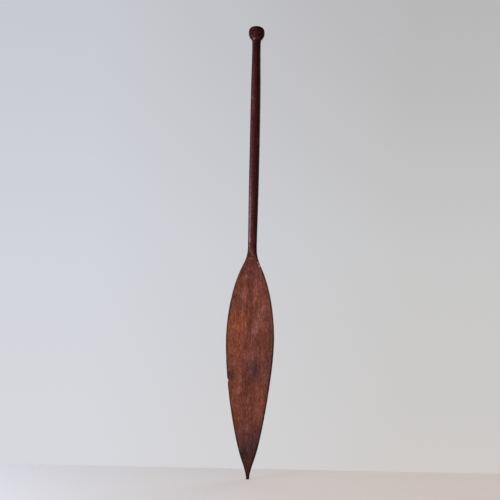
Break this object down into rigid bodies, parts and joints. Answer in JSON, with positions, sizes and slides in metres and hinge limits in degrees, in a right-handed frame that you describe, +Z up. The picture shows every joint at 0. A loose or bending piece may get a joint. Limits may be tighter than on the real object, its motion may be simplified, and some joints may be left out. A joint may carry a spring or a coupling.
{
  "type": "canoe paddle",
  "caption": "Hand-carved hardwood canoe paddle with a knob pommel, slim round shaft, flattened throat and a long leaf-shaped blade that ends in a narrow blunt tip.",
  "frame": {"origin": "on the ground under the middle of the paddle, at the blade's blunt tip", "axes": "+Z up the shaft from the tip to the pommel, +X to the right across the blade as seen from the front, +Y through the blade from its front face to its back face"},
  "size_m": [0.1588, 0.054, 1.5],
  "materials": {
    "pommel_wood": "hand-polished dark hardwood with a blackened crown",
    "shaft_wood": "glossy hand-polished dark hardwood",
    "throat_wood": "worn satin hardwood",
    "blade_wood": "dry matte hardwood with open vertical grain",
    "tip_wood": "dry matte hardwood, stained nearly black"
  },
  "bodies": {
    "root": {"pommel": "pommel_wood", "shaft": "shaft_wood", "throat": "throat_wood", "blade": "blade_wood", "blade_tip": "tip_wood"}
  },
  "joints": []
}
